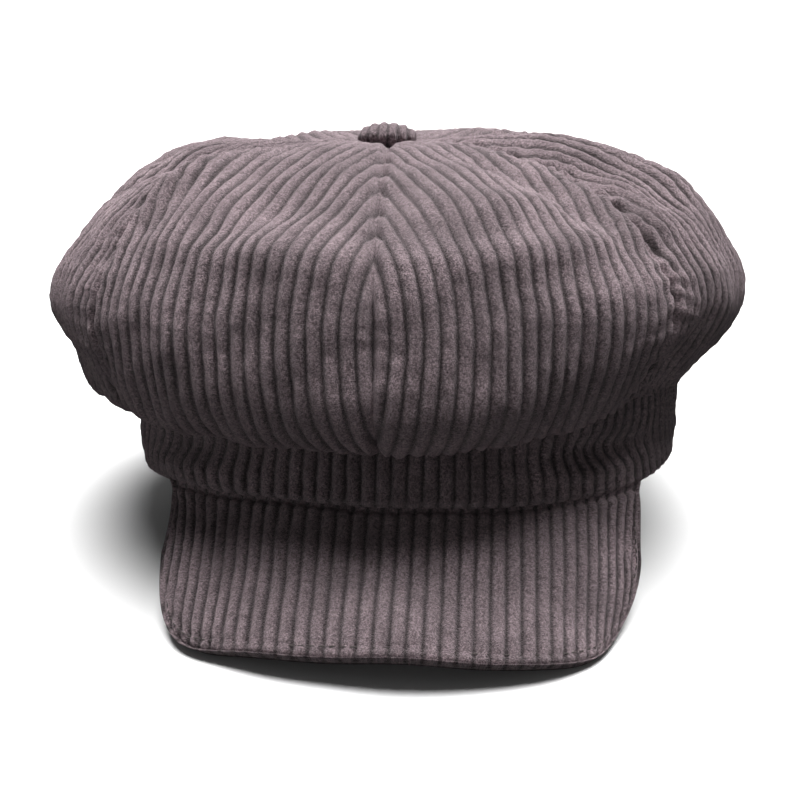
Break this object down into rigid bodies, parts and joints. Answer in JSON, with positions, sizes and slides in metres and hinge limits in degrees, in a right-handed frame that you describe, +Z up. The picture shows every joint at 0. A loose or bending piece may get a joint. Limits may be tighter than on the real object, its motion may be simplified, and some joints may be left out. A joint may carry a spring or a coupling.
{
  "type": "newsboy cap",
  "caption": "Baker-boy cap in wide-wale corduroy: gored slouching crown with a covered button, headband, lining and a stiff curved visor that flexes.",
  "frame": {"origin": "centre of the whole cap box at its lowest level, the table that the cap lies on", "axes": "+Z up, visor towards -Y, +X to the right seen from in front of the visor"},
  "size_m": [0.26, 0.2768, 0.1465],
  "materials": {
    "corduroy": "wide-wale cotton corduroy, taupe brown-grey, matt with a soft pile sheen",
    "lining_cloth": "thin black twill lining, faint sheen",
    "sweatband_cloth": "black cotton twill band",
    "interlining": "stiff off-white woven interlining",
    "elastic": "flat braided elastic",
    "tab_satin": "blank woven satin tab",
    "black_thread": "spun polyester thread",
    "brown_thread": "spun polyester thread",
    "visor_board": "moulded polyethylene visor board",
    "button_tin": "pressed tinplate",
    "prong_steel": "bent spring steel strip"
  },
  "bodies": {
    "cap": {"crown_gore_1": "corduroy", "crown_gore_2": "corduroy", "crown_gore_3": "corduroy", "crown_gore_4": "corduroy", "crown_gore_5": "corduroy", "crown_gore_6": "corduroy", "crown_gore_7": "corduroy", "crown_gore_8": "corduroy", "lining_gore_1": "lining_cloth", "lining_gore_2": "lining_cloth", "lining_gore_3": "lining_cloth", "lining_gore_4": "lining_cloth", "lining_gore_5": "lining_cloth", "lining_gore_6": "lining_cloth", "lining_gore_7": "lining_cloth", "lining_gore_8": "lining_cloth", "headband": "corduroy", "headband_interlining": "interlining", "sweatband": "sweatband_cloth", "back_elastic": "elastic", "size_tab": "tab_satin", "sweatband_stitching": "black_thread", "button_cover": "corduroy", "button_shell": "button_tin", "button_back_plate": "button_tin", "button_prong": "prong_steel"},
    "visor": {"visor_top_cover": "corduroy", "visor_board": "visor_board", "visor_under_cover": "corduroy", "visor_edge_stitching": "brown_thread"}
  },
  "joints": [
    {"name": "visor_flex", "type": "hinge", "parent": "cap", "child": "visor", "pos_m": [0.00979, -0.06704, 0.03462], "axis": [1, 0, 0], "range_deg": [-20, 12], "stiffness_Nm_per_rad": 1}
  ]
}
